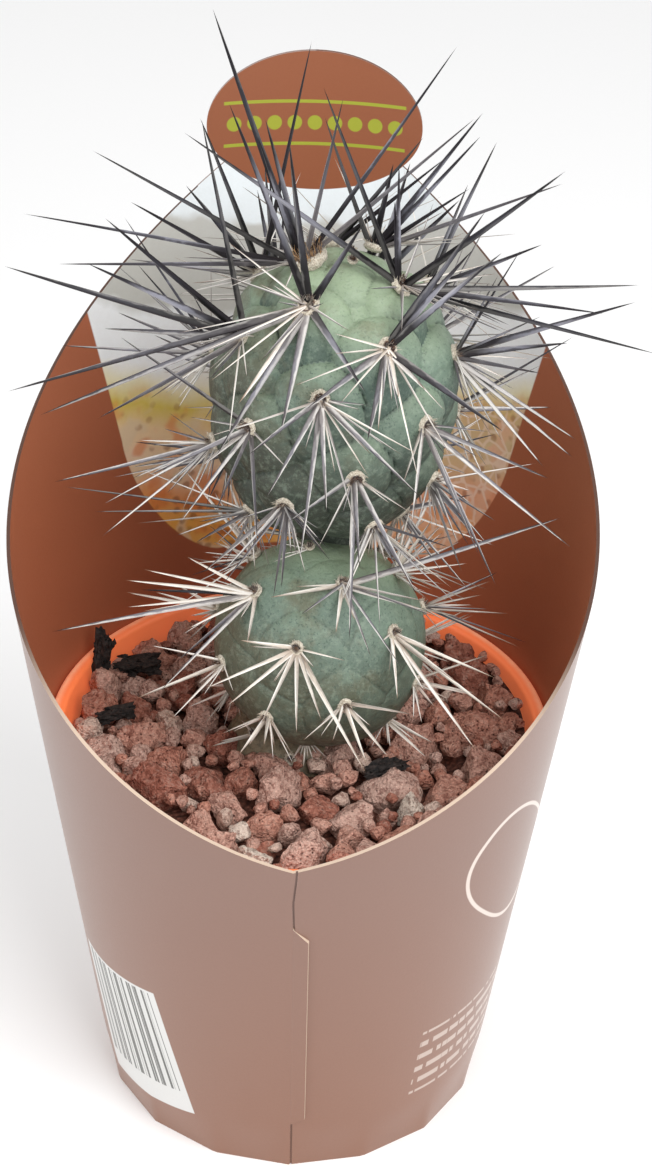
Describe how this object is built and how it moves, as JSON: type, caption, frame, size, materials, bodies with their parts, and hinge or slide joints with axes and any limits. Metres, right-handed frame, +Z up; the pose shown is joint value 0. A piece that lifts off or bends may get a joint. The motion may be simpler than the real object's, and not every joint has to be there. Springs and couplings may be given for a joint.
{
  "type": "potted cactus",
  "caption": "Small potted cactus of stacked, long-spined stem segments in lava gravel, in a round pot inside a flared cardboard sleeve with a raised back.",
  "frame": {"origin": "the centre of the sleeve's flat underside, on the surface that the pot stands on", "axes": "+Z up, +Y to the raised back of the sleeve, -Y to the low front with the seam, +X to the right seen from the front"},
  "size_m": [0.0992, 0.1001, 0.1892],
  "materials": {
    "card": "printed mauve-brown card, satin",
    "pot_plastic": "thin moulded orange plastic, semi-gloss",
    "lava": "porous red-brown lava stones, matte",
    "old_stem": "corky olive-brown stem, matte",
    "stem": "waxy blue-green skin with ivory to black spines",
    "bark": "weathered black bark, matte"
  },
  "bodies": {
    "root": {"cardboard_sleeve": "card", "plant_pot": "pot_plastic", "lava_gravel": "lava", "basal_segment": "old_stem", "lower_segment": "stem", "upper_segment": "stem"}
  },
  "joints": []
}
